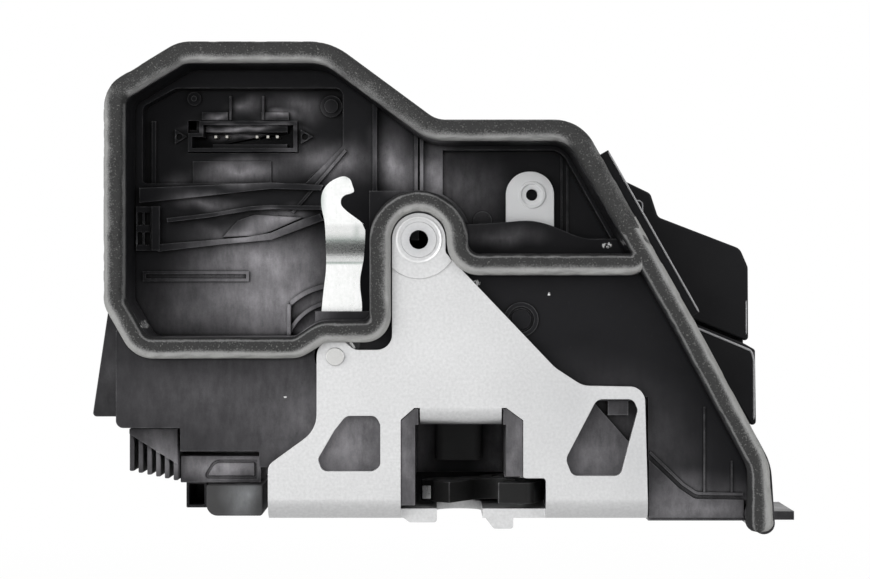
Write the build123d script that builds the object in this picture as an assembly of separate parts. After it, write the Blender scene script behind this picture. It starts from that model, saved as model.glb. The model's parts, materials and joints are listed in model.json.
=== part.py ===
from build123d import *

# Door latch actuator. Millimetres. +X runs along the shut face, +Z up, -Y towards the inside of the door.
# Origin: centre of the three shut-face screws, on the shut face, over the fishmouth's centreline.
import math
import os

os.makedirs("parts", exist_ok=True)

# ---- latch plate
plate_sheet = 2.5
plate_front = -30.0
flange_left, flange_right = -50.9, 50.0
flange_rear = 40.0
bend_radius = 5.5
plate_hole = (-10.9, 74.2)
plate_lobe = 7.1
pad_radius, pad_step = 10.3, 0.6
collar_radius, collar_depth = 4.9, 5.0
thread_radius = 2.5
screw_circle = 32.0
nut_radius, nut_height = 4.9, 4.5
slot_half = 6.1
window_left, window_right, window_top = -15.7, 16.8, 29.6
window_step_x, window_step_z = 22.8, 11.0
tab_left, tab_right, tab_bend, tab_rear = -10.6, 11.1, 4.5, -19.0

# ---- housing
web_front, web_sheet = -8.0, 2.5
apron_front, apron_sheet = -25.0, 2.5
housing_rear = 9.0
wall = 2.2
rim_width = 5.8
panel_left, panel_bottom, panel_step_z = -91.8, 24.0, 17.8
panel_reach, wing_reach, wing_foot = 25.1, 4.0, 4.5
recess_floor, recess_left, recess_wall = -0.8, -4.5, 1.2
sole_bottom, sole_sheet = -0.7, 2.3
tongue_tip = 89.6
cover_rear = 38.0
seal_height, seal_width = 5.0, 5.6

# ---- latch body and mechanism
body_half, body_rear, body_top = 49.5, 38.0, 32.0
mechanism_top = 12.4
backing_sheet = 2.0
claw_pivot = (18.0, 0.0)
claw_travel = 60.0
claw_bottom, claw_thick, claw_skin = 4.2, 5.0, 0.3
claw_reach, claw_front_reach, claw_hub = 32.0, 27.4, 12.5
pawl_pivot = (-28.0, -3.0)
pawl_travel = 16.0
pawl_hub = 6.0
rivet_radius = 3.6

# ---- inside release lever
lever_pivot = (-33.1, 43.2)
lever_sheet = 2.5
lever_low, lever_high = -23.5, -29.6
lever_travel = 25.0
lever_rivet_radius = 2.0

# ---- lock mechanism
knob_pivot = (16.4, 53.0)
knob_front, knob_sheet = -4.6, 3.0
knob_travel = 10.0
locking_travel = 13.2
wheel_centre = (-38.0, 90.0)
wheel_front, wheel_width = 20.5, 6.0
wheel_teeth, gear_module = 30, 1.0
worm_radius, worm_turns = 4.0, 5
wheel_travel = 30.0
crank_radius, crank_pin = 10.0, 2.0
locking_pivot = (-8.0, 90.0)
locking_front, locking_sheet = 10.0, 3.0
motor_radius, motor_length, motor_left = 12.0, 30.0, -84.0
shaft_radius = 1.15
axle_radius = 2.0

# ---- cable bracket and grommet
bracket_gap, bracket_width = 4.1, 21.7
guard_width = 13.1
duct_side, duct_width, grommet_gap, duct_gap = 1.2, 5.7, 3.2, 0.5
plate_gap = 1.0

# ---- clearances
running = 0.05
loose = 0.3
seat = 0.2

plate_back = plate_front + plate_sheet
web_back = web_front + web_sheet
apron_back = apron_front + apron_sheet
cover_inside = cover_rear - wall
panel_step_x = -(body_half + panel_reach)
bracket_right = -(body_half + bracket_gap)
bracket_left = bracket_right - bracket_width
duct_right = bracket_left + duct_side + duct_width
wing_left = -(body_half + wing_reach)
recess_back = recess_floor + web_sheet
claw_top = claw_bottom + claw_thick + claw_skin
worm_height = wheel_centre[1] - (wheel_teeth * gear_module / 2 + worm_radius)
wheel_middle = wheel_front + wheel_width / 2
screw_places = [(screw_circle * math.sin(a), screw_circle * math.cos(a)) for a in
                (math.radians(turn) for turn in (0, 120, 240))]


def outline(corners):
    """A face from (x, y, corner radius) triples."""
    points = [(x, y) for x, y, radius in corners]
    radii = [radius for x, y, radius in corners]
    return make_face(FilletPolyline(*points, radius=radii, close=True))


def upright(face, front, back):
    """Pushes a face drawn in X and Z from Y = back out to Y = front."""
    return extrude(Plane.XZ.offset(-back) * face, amount=back - front)


def flat(face, low, high):
    """Pushes a face drawn in X and Y from Z = low up to Z = high."""
    return extrude(Plane.XY.offset(low) * face, amount=high - low)


def disc(centre, radius):
    return Pos(*centre) * Circle(radius)


def bar(left, right, low, high):
    return Pos((left + right) / 2, (low + high) / 2) * Rectangle(right - left, high - low)


def pin_y(centre, radius, front, back):
    return upright(disc(centre, radius), front, back)


def pin_z(centre, radius, low, high):
    return flat(disc(centre, radius), low, high)


def turn_z(shape, centre, degrees):
    return shape.rotate(Axis((*centre, 0), (0, 0, 1)), degrees)


def spring(centre, radius, wire, turns, start):
    """A torsion spring's coil of flat wire about the Y line through centre."""
    coil = Helix(pitch=wire * 1.3, height=wire * 1.3 * turns, radius=radius)
    section = Plane(origin=coil @ 0, z_dir=coil % 0) * Rectangle(wire, wire)
    return Pos(centre[0], start, centre[1]) * Rot(-90, 0, 0) * sweep(section, path=coil, is_frenet=True)


# ---- outlines in the door's plane -------------------------------------------------------------
junction = (50.3, 67.6)
hole_turn = 10.15
seal_loop = [
    (-91.4, 113.0, 6), (-73.5, 123.8, 8), (-35.2, 123.8, 14), (-7.2, 103.15, 10), (30.2, 103.15, 9),
    (junction[0], junction[1], 3.2), (plate_hole[0] + 10.2, junction[1], 6), (plate_hole[0] + 10.2, 84.4, hole_turn),
    (plate_hole[0] - 10.2, 84.4, hole_turn), (plate_hole[0] - 10.2, 50.1, 5), (-36.5, 50.1, 6),
    (-43.0, 45.6, 6), (-84.5, 45.5, 6), (-91.4, 57.5, 6),
]
seal_foot = (79.4, 1.4)
seal_leg = [junction, (58.6, 53.0), (79.6, 14.0), (80.6, -1.0)]
loop_face = outline(seal_loop)
leg_path = FilletPolyline(*seal_leg, radius=[40, 12])


def seal_band(width):
    """The gasket's track, as wide as asked, round the loop and down the leg."""
    ring = offset(loop_face, width / 2) - offset(loop_face, -width / 2)
    leg = trace(leg_path, line_width=width) + disc(seal_leg[-1], width / 2) + disc(seal_foot, width * 0.62)
    return ring + leg


def housing_face():
    """The main housing's silhouette from the front."""
    apron = outline([
        (-45.0, body_top + loose, 0), (body_half + 0.8, body_top + loose, 0), (body_half + 0.8, sole_bottom, 0),
        (80.6, sole_bottom, 0), (79.6, 14.0, 0), (58.6, 53.0, 0), (*junction, 0), (-21.0, junction[1], 0),
        (-30.0, 47.0, 0), (-45.0, 47.0, 0),
    ])
    panel = outline([
        (panel_left, panel_bottom, 2), (panel_step_x, panel_bottom, 0), (panel_step_x, panel_step_z, 0),
        (-body_half - loose, panel_step_z, 0), (-body_half - loose, body_top + loose, 0),
        (-40.0, body_top + loose, 0), (-40.0, 50.0, 0), (panel_left, 50.0, 0),
    ])
    return offset(loop_face, rim_width / 2) + apron + panel + seal_band(rim_width) + arch_filler()


def arch_filler():
    """The housing behind the gasket's turn round the plate's screw hole."""
    return disc(plate_hole, hole_turn + 1) + bar(plate_hole[0] - 10, plate_hole[0] + 13, 60, plate_hole[1])


plate_outline = [
    (flange_left, -1, 0), (flange_left, 14.4, 3), (-38.0, 23.8, 8), (-38.0, 47.8, 4.6), (-31.2, 47.8, 2.5),
    (-28.0, 45.0, 3), (-18.0, 45.0, 4), (-18.0, 81.3, 7.05), (-3.8, 81.3, 7.05), (-3.8, 70.8, 1.5),
    (25.2, 40.3, 10), (32.6, 35.5, 6), (49.0, 35.2, 4), (flange_right, -1, 0),
]
left_window = [
    (-30.2, 27.5, 2.5), (-22.3, 27.5, 2), (-21.1, 25.2, 1), (-21.1, 14.0, 2), (-23.1, 12.8, 1), (-36.5, 12.8, 2),
    (-37.7, 16.0, 1.5), (-33.3, 23.6, 3),
]
right_window = [
    (36.3, 31.9, 2.5), (46.0, 31.9, 2), (47.2, 29.0, 2), (44.5, 19.1, 6), (42.6, 11.6, 2), (29.8, 11.6, 2),
    (28.0, 16.0, 3),
]
main_window = [
    (window_left, -1, 0), (window_left, 26.4, 0.5), (-12.1, window_top, 0), (12.3, window_top, 0),
    (window_right, 26.3, 0.5), (window_right, window_step_z, 0.5), (window_step_x, window_step_z, 1),
    (window_step_x, -1, 0),
]


def latch_plate():
    """One bent sheet: the upright web, the shut-face flange, the top tab and the drawn lips."""
    reach = flange_right - flange_left
    side = make_face(FilletPolyline(
        (plate_front, 90), (plate_front, 0), (flange_rear, 0), (flange_rear, plate_sheet),
        (plate_back, plate_sheet), (plate_back, 90),
        radius=[0, bend_radius, 1, 0, bend_radius - plate_sheet, 0], close=True))
    sheet = Pos(flange_left, 0, 0) * extrude(Plane.YZ * side, amount=reach)
    front = upright(outline(plate_outline), plate_front - 1, flange_rear + 1)
    plate = sheet & front
    for window in (left_window, right_window):
        plate -= upright(outline(window), plate_front - 1, plate_back + 1)
    plate -= upright(outline(main_window), plate_front - 1, plate_front + bend_radius)
    plate -= flat(bar(-slot_half, slot_half, plate_front, 0) + Circle(slot_half), -1, plate_sheet + 1)
    plate += top_tab()
    for left, right, drop in ((window_left - 0.7, -slot_half, 1.2), (slot_half, 14.3, 2.9)):
        lip = outline([(left, 1, 0), (left + 3, -drop, 1.2), (right, -drop, 0.8), (right, 1, 0)])
        plate += upright(lip, plate_front + bend_radius, -14)
    pad = (disc(plate_hole, pad_radius) & outline(plate_outline)) - seal_band(seal_width + 2 * seat)
    plate += upright(pad, plate_front - pad_step, plate_front)
    plate += pin_y(plate_hole, collar_radius, plate_back, plate_back + collar_depth)
    plate += pin_y(plate_hole, collar_radius - 0.2, plate_front - pad_step - 0.4, plate_front)
    bore = pin_y(plate_hole, thread_radius, plate_front - 2, plate_back + collar_depth + 1)
    bore += Pos(plate_hole[0], plate_front - pad_step - 0.4, plate_hole[1]) * Rot(90, 0, 0) * Cone(
        thread_radius - 0.8, thread_radius + 0.8, 1.6)
    plate -= bore
    for place in screw_places:
        plate += pin_z(place, nut_radius, plate_sheet, plate_sheet + nut_height)
        plate -= pin_z(place, thread_radius, -1, plate_sheet + nut_height + 1)
    plate -= pin_y(lever_pivot, lever_rivet_radius + running, plate_front - 1, plate_back + 1)
    for pivot in (claw_pivot, pawl_pivot):
        plate -= pin_z(pivot, rivet_radius + running, -1, plate_sheet + 1)
    return plate


def top_tab():
    """The tongue of sheet bent back over the fishmouth, with the sheet that joins it to the web."""
    low = window_top - tab_bend
    side = make_face(FilletPolyline(
        (plate_front, window_top + 1), (plate_front, low), (tab_rear, low), (tab_rear, low + plate_sheet),
        (plate_back, low + plate_sheet), (plate_back, window_top + 1),
        radius=[0, tab_bend, 0, 0, tab_bend - plate_sheet, 0], close=True))
    return Pos(tab_left, 0, 0) * extrude(Plane.YZ * side, amount=tab_right - tab_left)


# ---- housing ----------------------------------------------------------------------------------
pocket = [(-86.5, 90.0, 1), (-86.5, 111.0, 2), (-77.5, 116.0, 3), (-31.8, 116.0, 2), (-31.8, 100.2, 1.5),
          (-42.0, 90.0, 1)]
pocket_floor = 0.0
socket = (-73.5, -45.6, 100.0, 106.3)
socket_wall = 1.1
socket_front, socket_rear = -3.0, 12.0
axle_seat = pocket_floor + web_sheet
apron_post, recess_post = (42.0, 40.0), (27.0, 97.0)
screw_posts = [(-88.8, 86.6), (-85.5, 55.0), (-27.0, 114.0), recess_post, apron_post]
post_radius, screw_radius = 3.6, 1.5


def post_foot(place):
    """The back of the wall that a screw post stands on."""
    return {apron_post: apron_back, recess_post: recess_back}.get(place, web_back)


def lever_sweep(grow):
    """Everywhere the inside lever's lower arm passes, seen from the front."""
    arm = offset(outline(lever_arm), grow)
    steps = [arm.rotate(Axis((*lever_pivot, 0), (0, 0, 1)), lever_travel * n / 3) for n in range(4)]
    return make_hull(Sketch(children=steps).edges())


lever_arm = [(-36.9, 62.0, 0.5), (-25.8, 62.0, 0.5), (-27.9, 41.0, 3), (-33.0, 38.0, 3), (-37.6, 41.0, 3)]
foot_pocket = 5.7


def main_housing():
    face = housing_face()
    body = upright(face - offset(loop_face, 0) + panel_wing(0), apron_front, apron_back)
    body += upright(face - offset(face, -wall), apron_front, housing_rear)
    body += upright(seal_band(rim_width), plate_front, web_back)
    body += upright(bar(-24.2, plate_hole[0], plate_hole[1], 87.4), plate_front + 6, web_back)
    body += upright(offset(loop_face, -rim_width / 2), web_front, web_back)
    body = knob_recess(connector_pocket(body))
    body += cable_channels()
    body += recess_ribs()
    body += apron_details()
    body -= upright(lever_sweep(0.7), lever_low - 1.2, lever_low + lever_sheet + 1.5)
    body -= pin_y(lever_pivot, foot_pocket, plate_front, lever_low + lever_sheet + 4)
    body -= pin_y(knob_pivot, 2.8 + running, apron_front - 1, apron_back + 1)
    body -= upright(swing_path(mesh_point, 5.0, knob_pivot, knob_travel + 1), knob_front - 0.4,
                    knob_front + knob_sheet + 0.4)
    body -= upright(swing_path(mesh_point, 2.0, locking_pivot, locking_travel + 1), knob_front, recess_back)
    body -= pin_y(plate_hole, collar_radius + seat, plate_front - 1, plate_back + collar_depth + seat)
    body -= upright(offset(outline(plate_outline), seat), plate_front - 1, plate_back)
    for place in screw_posts:
        foot = post_foot(place)
        body += pin_y(place, post_radius, foot, housing_rear)
        body -= pin_y(place, screw_radius + running, max(foot, web_back) + 2, housing_rear + 1)
    body += pin_y(wheel_centre, axle_radius + 1.5, web_back, axle_seat)
    sole = bar(body_half + 0.8, tongue_tip, sole_bottom, sole_bottom + sole_sheet)
    return body + upright(sole, apron_back, housing_rear)


def swung(point, pivot, angle):
    """A place turned about a pivot, counter-clockwise as seen from the front."""
    reach, start = math.dist(point, pivot), math.atan2(point[1] - pivot[1], point[0] - pivot[0])
    direction = start + math.radians(angle)
    return pivot[0] + reach * math.cos(direction), pivot[1] + reach * math.sin(direction)


def swing_path(centre, radius, pivot, travel):
    """The area that a lever's round end covers as it swings by travel degrees each way."""
    first, last = swung(centre, pivot, -travel), swung(centre, pivot, travel)
    path = trace(ThreePointArc(first, centre, last), line_width=2 * radius)
    return path + disc(first, radius) + disc(last, radius)


def panel_wing(grow):
    """The panel's corner that laps over the latch body up to the plate's slanted edge."""
    low, top = 13.6 - grow, 47.0
    return outline([(wing_left - grow, low, 0), (wing_left + wing_foot, low, 1), (-36.0 + grow, 25.5, 3),
                    (-36.0 + grow, top, 0),
                    (wing_left - grow, top, 0)])


hump_edge = [(-3.0, 78.6), (2.1, 78.7), (12.2, 79.3), (19.5, 79.7), (26.1, 78.0), (30.2, 76.2), (37.0, 74.8)]


def hump_face(drop):
    """Everything under the humped wall's top edge, lowered by drop."""
    edge = Spline(*[(x, z - drop) for x, z in hump_edge])
    start, end = edge @ 0, edge @ 1
    rest = Polyline((end.X, end.Y), (70, end.Y), (70, 60), (-16, 60), (-16, start.Y), (start.X, start.Y))
    return make_face([edge, rest])


def knob_recess(body):
    """The deeper floor behind the white lever's tab, open under the humped wall where the lever passes."""
    inner = offset(loop_face, -rim_width / 2)
    room = (offset(inner, -recess_wall) & bar(recess_left, 70, 60, 120)) - hump_face(0)
    around = inner & bar(recess_left - recess_wall, 70, 60, 120)
    body -= upright(room, web_front - 1, web_back + 1)
    body += upright(around - room - hump_face(0), web_front, recess_back)
    body += upright(around - hump_face(0.3), recess_floor, recess_back)
    hump = inner & bar(-3.0, 70, 60, 82) & hump_face(0)
    body += upright(hump, web_front - 3, web_front)
    divider = (bar(28.0, 28.6, 70, 110) + bar(29.6, 30.2, 70, 110)) & room
    body += upright(divider, recess_floor - 0.5, recess_floor)
    return body + upright(disc((6.5, 80.0), 2.6) & room, recess_floor - 0.5, recess_floor)


def apron_details():
    """The axle's ring boss, the sill at the lower right with its groove, and two moulded ridges."""
    rings = upright(disc(knob_pivot, 4.6) - disc(knob_pivot, 3.4), apron_front - 0.8, apron_front)
    right = 75.6
    sill = outline([(body_half + 0.9, 0.2, 0), (body_half + 0.9, 15.6, 0), (58.6, 7.9, 4), (62.6, 5.2, 3),
                    (right, 5.0, 0), (right, 0.2, 0)])
    rings += upright(sill, apron_front - 1.5, apron_front)
    upper = trace(FilletPolyline((body_half + 1.2, 17.6), (59.6, 9.0), (63.2, 6.6), (right, 6.4), radius=3),
                  line_width=0.7)
    rings += upright(upper, apron_front - 0.7, apron_front)
    ridges = bar(65.0, 65.5, 6.4, 29.7) + bar(72.3, 72.8, 6.4, 15.3)
    lip_from, lip_to = (38.3, 97.5), (62.8, 54.2)
    lip = trace(Line(lip_from, lip_to), line_width=3.2)
    return rings + upright(ridges, apron_front - 0.5, apron_front) + upright(lip, apron_front + 1, apron_front + 3)


def connector_pocket(body):
    """The deeper floor round the connector, with the socket's hole, its ears, pads and posts."""
    face = outline(pocket)
    body -= upright(face, web_front - 1, web_back + 1)
    body += upright(offset(face, 2) - face, web_front, axle_seat)
    body += upright(face, pocket_floor, axle_seat)
    grow = socket_wall + seat
    left, right, low, high = socket
    middle = (low + high) / 2
    pads = bar(left + 2.6, left + 9.8, high + 1.5, high + 3.6) + bar(right - 8.9, right - 1.4, high + 1.5, high + 3.6)
    body += upright(pads, pocket_floor - 1.2, pocket_floor)
    ribs = bar(left + 10.2, left + 10.8, high + 1.5, high + 8) + bar(right - 8.7, right - 8.1, high + 1.5, high + 8)
    body += upright(ribs + bar(-84.7, -83.5, 90.0, 107.4), pocket_floor - 1.8, pocket_floor)
    body += upright(bar(left, right - 6.2, 90.0, 96.4), pocket_floor - 0.6, pocket_floor)
    body -= upright(bar(left - grow, right + grow, low - grow, high + grow), pocket_floor - 3, housing_rear)
    for x in (left - 3.7, right + 3.1):
        ear = RegularPolygon(2.3, 3)
        body += upright(Pos(x, middle) * ear - disc((x, middle), 0.9), pocket_floor - 1.5, pocket_floor)
    for place, radius in (((-73.0, 113.6), 1.9), ((-35.2, 111.5), 3.0)):
        body += upright(disc(place, radius), pocket_floor - 1.6, pocket_floor)
        body += upright(disc(place, radius - 1.1), pocket_floor - 2.6, pocket_floor)
    return body


channel_upper = [(-87.0, 84.6), (-87.0, 88.6), (-51.3, 90.1), (-37.0, 89.4), (-37.6, 88.0), (-51.3, 88.4),
                 (-65.7, 86.8), (-83.1, 84.9)]
channel_lower = [(-82.0, 71.3), (-78.8, 71.7), (-64.4, 73.3), (-51.3, 74.5), (-37.0, 79.8), (-37.9, 81.6),
                 (-43.3, 79.8), (-51.3, 76.4), (-58.2, 75.2), (-65.7, 74.6), (-82.0, 73.3)]
channel_island = [(-64.4, 75.3), (-60.4, 79.8), (-55.7, 81.4), (-42.9, 80.6), (-51.3, 76.9), (-55.1, 75.7)]
channel_rib = [(-79.4, 79.8), (-68.2, 81.1), (-56.9, 83.0), (-51.3, 83.4), (-37.6, 83.2)]
clip_left, clip_right, clip_low, clip_high = -88.0, -82.2, 71.6, 83.6


def cable_channels():
    """Two tracks for cable ends between low walls, with square clip seats at the left."""
    tracks = upright(make_face(Polyline(*channel_upper, close=True)), web_front - 4, web_front)
    tracks += upright(make_face(Polyline(*channel_lower, close=True)), web_front - 4, web_front)
    tracks += upright(make_face(Polyline(*channel_island, close=True)), web_front - 2, web_front)
    tracks += upright(trace(Polyline(*channel_rib), line_width=1.1), web_front - 5, web_front)
    tracks += upright(bar(clip_left, clip_right, clip_low, clip_high), web_front - 3, web_front)
    tracks += upright(bar(-83.6, clip_right + 0.8, clip_low, clip_high), web_front - 4.5, web_front)
    for row in (74.9, 80.3):
        for x in (-86.9, -84.9):
            tracks -= upright(bar(x - 0.7, x + 0.7, row - 1.7, row + 1.7), web_front - 5, web_front - 0.5)
    groove = trace(Line((-31.0, 99.0), (-45.5, 82.0)), line_width=0.8)
    return tracks + upright(groove, web_front - 1, web_front)


def pin_x(centre, radius, left, right):
    """A round along X; centre is (z, y)."""
    return Pos(left, 0, 0) * extrude(Plane.YZ * disc((centre[1], centre[0]), radius), amount=right - left)


def recess_ribs():
    """Low dividing walls, the lever's guide arcs and the long slot in the recess floor."""
    walls = bar(-23.6, -22.4, 87.0, 112.0) + bar(-12.2, -11.3, 86.0, 104.5) + bar(-10.7, -9.8, 86.0, 104.5)
    floor = upright(walls & offset(loop_face, -rim_width / 2), web_front - 3, web_front)
    arcs = disc(lever_pivot, 19.6) - disc(lever_pivot, 18.4) + disc(lever_pivot, 15.0) - disc(lever_pivot, 14.0)
    floor += upright(arcs & bar(-46.0, -34.0, 49.0, 64.0), web_front - 4, web_front)
    floor += upright(bar(-46.8, -45.8, 48.0, 57.0), web_front - 5, web_front)
    floor += upright(bar(-38.4, -24.0, 51.0, 55.2), plate_front + 0.6, lever_low - 1.6)
    slot = bar(-86.4, -57.4, 63.2, 66.0) - bar(-85.6, -58.2, 64.0, 65.2)
    return floor + upright(slot, web_front - 0.8, web_front)


def rear_cover():
    """The deep rear shell over the motor and levers, closed to the rear."""
    face = cover_face()
    shell = upright(face, housing_rear, cover_rear) - upright(offset(face, -wall), housing_rear - 1, cover_inside)
    shell = chamfer(shell.edges().group_by(Axis.Y)[-1], 1.2)
    for place in screw_posts:
        shell += pin_y(place, post_radius, housing_rear, cover_inside)
        shell -= pin_y(place, screw_radius + running, housing_rear - 1, cover_rear + 1)
    bush = bar(bush_left - 0.2, bush_left + bush_length, worm_height - 4, worm_height + 4)
    rib = upright(bush, wheel_middle - 4, cover_inside)
    shell += rib - pin_x((worm_height, wheel_middle), bush_radius + running, bush_left - 1, bush_left + bush_length + 1)
    for x in (motor_left + 6, motor_left + motor_length - 4):
        cradle = bar(x - 1.2, x + 1.2, worm_height - motor_radius - 2, worm_height + motor_radius + 2)
        shell += upright(cradle, wheel_middle, cover_inside) - pin_x(
            (worm_height, wheel_middle), motor_radius + seat, x - 2, x + 2)
    shell -= pin_y(outer_pivot, 2.5 + running, cover_inside - 1, cover_rear + 1)
    shell -= pin_y(cam_centre, cam_neck + running, cover_inside - 1, cover_rear + 1)
    return shell


outer_pivot = (-14.0, 66.0)
cam_centre = (26.0, 72.0)
cam_neck = 6.0
bush_left, bush_length, bush_radius = -27.0, 4.0, 2.6


def cover_face():
    """The rear cover's outline: the gasket loop's shape with the skirt below it."""
    skirt = outline([(panel_left, 28.0, 3), (-body_half - loose, 28.0, 0), (-body_half - loose, body_top + loose, 0),
                     (48.0, body_top + loose, 2), (52.0, 60.0, 2), (40.0, 75.0, 0), (-70.0, 75.0, 0), (panel_left, 75.0, 0)])
    return offset(loop_face, rim_width / 2) + skirt + arch_filler()


def side_cover(corners, front, back):
    """A moulded cover against the housing's slanted side: an open-backed tray with rounded front edges."""
    tray = upright(outline(corners), front, back)
    tray = chamfer(tray.edges().group_by(Axis.Y)[0], 0.45)
    tray -= upright(offset(housing_face(), loose), front - 1, back + 1)
    hollow = offset(outline(corners), -2) - offset(housing_face(), loose + 2)
    return tray - upright(hollow, front + 2, back + 1)


def drip_hood():
    face = outline([(-94.4, 56.5, 0), (-98.8, 26.8, 1), (panel_left - loose, 26.8, 0), (panel_left - loose, 56.5, 0)])
    return upright(face - offset(housing_face(), loose), apron_front + 6, housing_rear + 10)


def finned_guard():
    """The slanted lower guard with its row of upright fins."""
    right = min(bracket_left, panel_step_x) - loose
    left = right - guard_width
    face = outline([(left, panel_bottom - loose, 0), (left, 22.2, 0), (right, 14.0, 0), (right, panel_bottom - loose, 0)])
    guard = upright(face, apron_front + 4, housing_rear)
    for n in range(6):
        x = left + 2.36 * n
        guard += upright(bar(x, x + 1.3, 12.2 - 0.5 * n, 22.6), apron_front + 5, housing_rear - 2)
    return guard


def cable_bracket():
    """The block under the panel that the cables leave through, with a square duct below it."""
    left, right = bracket_left, bracket_right
    block = upright(bar(left, right, 8.9, 16.1), apron_front + 8, 20)
    block += upright(bar(left, right, 15.0, panel_step_z), -6, 20)
    arch = outline([(left + 6.0, 10.0, 1), (left + 9.0, 15.0, 3), (right - 1, 15.0, 0), (right - 1, 10.0, 0)])
    block -= upright(arch - offset(arch, -0.7), apron_front + 7, apron_front + 8.6)
    duct = bar(left + duct_side, duct_right, 1.8, 10.0)
    square = duct - bar(left + duct_side + 0.8, duct_right - 0.8, 2.6, 8.2)
    return block + upright(square, apron_front + 12, 15) + upright(duct, 8, 15)


def cable_grommet():
    left, right = duct_right + duct_gap, min(-(body_half + grommet_gap), flange_left - plate_gap)
    face = outline([(left, 0.3, 3), (right, 0.3, 1), (right, 8.6, 0), (left, 8.6, 0)])
    return upright(face, apron_front + 3, 18)


# ---- latch body, liner and rotary latch -------------------------------------------------------
def mechanism_room(grow):
    """The pocket for the claw and the pawl, seen from the shut face."""
    return outline([(-39.8 - grow, -10.0 - grow, 3), (-39.8 - grow, 12.6, 4), (-22.0, 26.0 + grow, 4),
                    (30.0, 26.0 + grow, 6), (36.0 + grow, 16.0, 4), (36.0 + grow, -24.0 - grow, 3),
                    (-16.0, -24.0 - grow, 3), (-21.5, -10.0 - grow, 2)])


def latch_body():
    side = make_face(FilletPolyline(
        (plate_back, plate_sheet), (body_rear, plate_sheet), (body_rear, body_top), (plate_back, body_top),
        radius=[bend_radius, 2, 4, 1], close=True))
    block = Pos(-body_half, 0, 0) * extrude(Plane.YZ * side, amount=2 * body_half)
    block -= flat(mechanism_room(0), 0, mechanism_top)
    block -= upright(bar(window_left - seat, window_step_x + 0.5, 0, mechanism_top), plate_back - 1, -23)
    block -= upright(liner_face(seat), plate_back - 1, liner_rear + seat)
    for place in screw_places:
        block -= pin_z(place, nut_radius + 0.4, 0, 16)
    block -= pin_z(claw_pivot, rivet_radius + 1.6, 0, mechanism_top + 2.6)
    block -= pin_z(pawl_pivot, rivet_radius + 1.6, 0, mechanism_top + 2.6)
    block -= upright(bar(tab_left - 0.5, tab_right + 0.5, window_top - 5, body_top - 2), plate_back - 1, tab_rear + 0.5)
    block -= upright(panel_wing(loose), plate_back - 1, apron_back + loose)
    corner = outline([(35.4, 31.4, 0), (36.9, 29.6, 0), (45.2, 20.2, 0), (48.0, 20.2, 0), (48.0, 31.4, 0)])
    block -= upright(corner - bar(39.4, 44.8, 27.6, 31.4), plate_back - 1, plate_back + 4)
    return block


liner_rear = 14.0
channel_left, channel_right = -11.9, 12.3


def liner_face(grow):
    return outline([(window_left - grow, 3.6 - grow, 0), (window_left - grow, 26.2, 1), (-12.4, 29.4 + grow, 1),
                    (12.6, 29.4 + grow, 1), (window_right + grow, 26.2, 1), (window_right + grow, 3.6 - grow, 0)])


def fishmouth_liner():
    """The moulded throat that guides the striker: two cheeks, a roof and an end wall."""
    front = plate_front + 0.6
    liner = upright(liner_face(-0.1), front, liner_rear)
    liner -= upright(bar(channel_left, channel_right, -1, 25.1), front - 1, liner_rear - 2.5)
    liner -= upright(bar(tab_left - 0.4, tab_right + 0.4, 20, 31), front - 1, tab_rear + 0.5)
    liner -= upright(bar(window_right - 6, window_right + 1, 0, window_step_z + 0.4), front - 1, -10)
    liner -= flat(disc(claw_pivot, claw_reach + 1), 0, claw_top + loose)
    liner -= flat(bar(window_left - 1, window_right + 1, -12, liner_rear + 1), 0, claw_top + loose)
    liner -= pin_z(claw_pivot, rivet_radius + 1.6, 0, mechanism_top + 2.6)
    return liner


def claw_face(grow):
    """The claw seen from the shut face, in its closed pose: hub, two arms and the throat between them."""
    px, py = claw_pivot
    arms = outline([
        (px - 30.9, py - slot_half + 1, 0), (px - 30.9, py + slot_half + 0.2, 1), (px - 29.3, py + 12.4, 1.5),
        (px - 26.4, py + 12.8, 0.8), (px - 25.4, py + 18.2, 1), (px - 19.5, py + 19.5, 3),
        (px - 6.0, py + 11.4, 4), (px + 2.0, py, 0), (px - 8.0, py - 9.9, 3), (px - 14.0, py - 12.4, 4),
        (px - 22.6, py - 14.6, 2.5), (px - 26.6, py - slot_half + 1, 1)])
    throat = disc((0, 0), slot_half) + bar(px - 40, 0, -slot_half, slot_half)
    return offset(arms + disc(claw_pivot, claw_hub), grow) - offset(throat, -grow)


def claw_core():
    core = flat(claw_face(-1.0), claw_bottom, claw_bottom + claw_thick)
    core -= pin_z(claw_pivot, rivet_radius + running, 0, 20)
    return turn_z(core, claw_pivot, claw_travel)


def claw_skin_part():
    """Plastic moulded round the steel core, leaving its faces bare near the hub and at the tooth."""
    skin = flat(claw_face(0), claw_bottom - claw_skin, claw_bottom + claw_thick + claw_skin)
    skin -= flat(claw_face(-1.0), claw_bottom, claw_bottom + claw_thick)
    skin -= pin_z(claw_pivot, claw_hub - 3.5, 0, 20)
    return turn_z(skin, claw_pivot, claw_travel)


pawl_nose = (-12.2, 5.8)


def pawl_face():
    px, py = pawl_pivot
    nx, ny = pawl_nose
    arm = outline([(px - 2.0, py + 5.0, 1), (nx - 3.4, ny, 1), (nx + 1.0, ny, 0.6), (nx + 1.6, ny - 3.0, 0.8),
                   (nx - 2.4, ny - 5.6, 2), (px + 3.0, py - 5.0, 1)])
    tail = outline([(px - 4.0, py - 3.0, 1), (px - 9.4, py + 9.0, 1.5), (px - 5.6, py + 12.0, 1.5), (px + 3.0, py + 4.0, 1)])
    return arm + tail + disc(pawl_pivot, pawl_hub)


def pawl_core():
    core = flat(offset(pawl_face(), -0.8), claw_bottom, claw_bottom + claw_thick)
    core -= pin_z(pawl_pivot, rivet_radius + running, 0, 20)
    return turn_z(core, pawl_pivot, pawl_travel)


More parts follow.
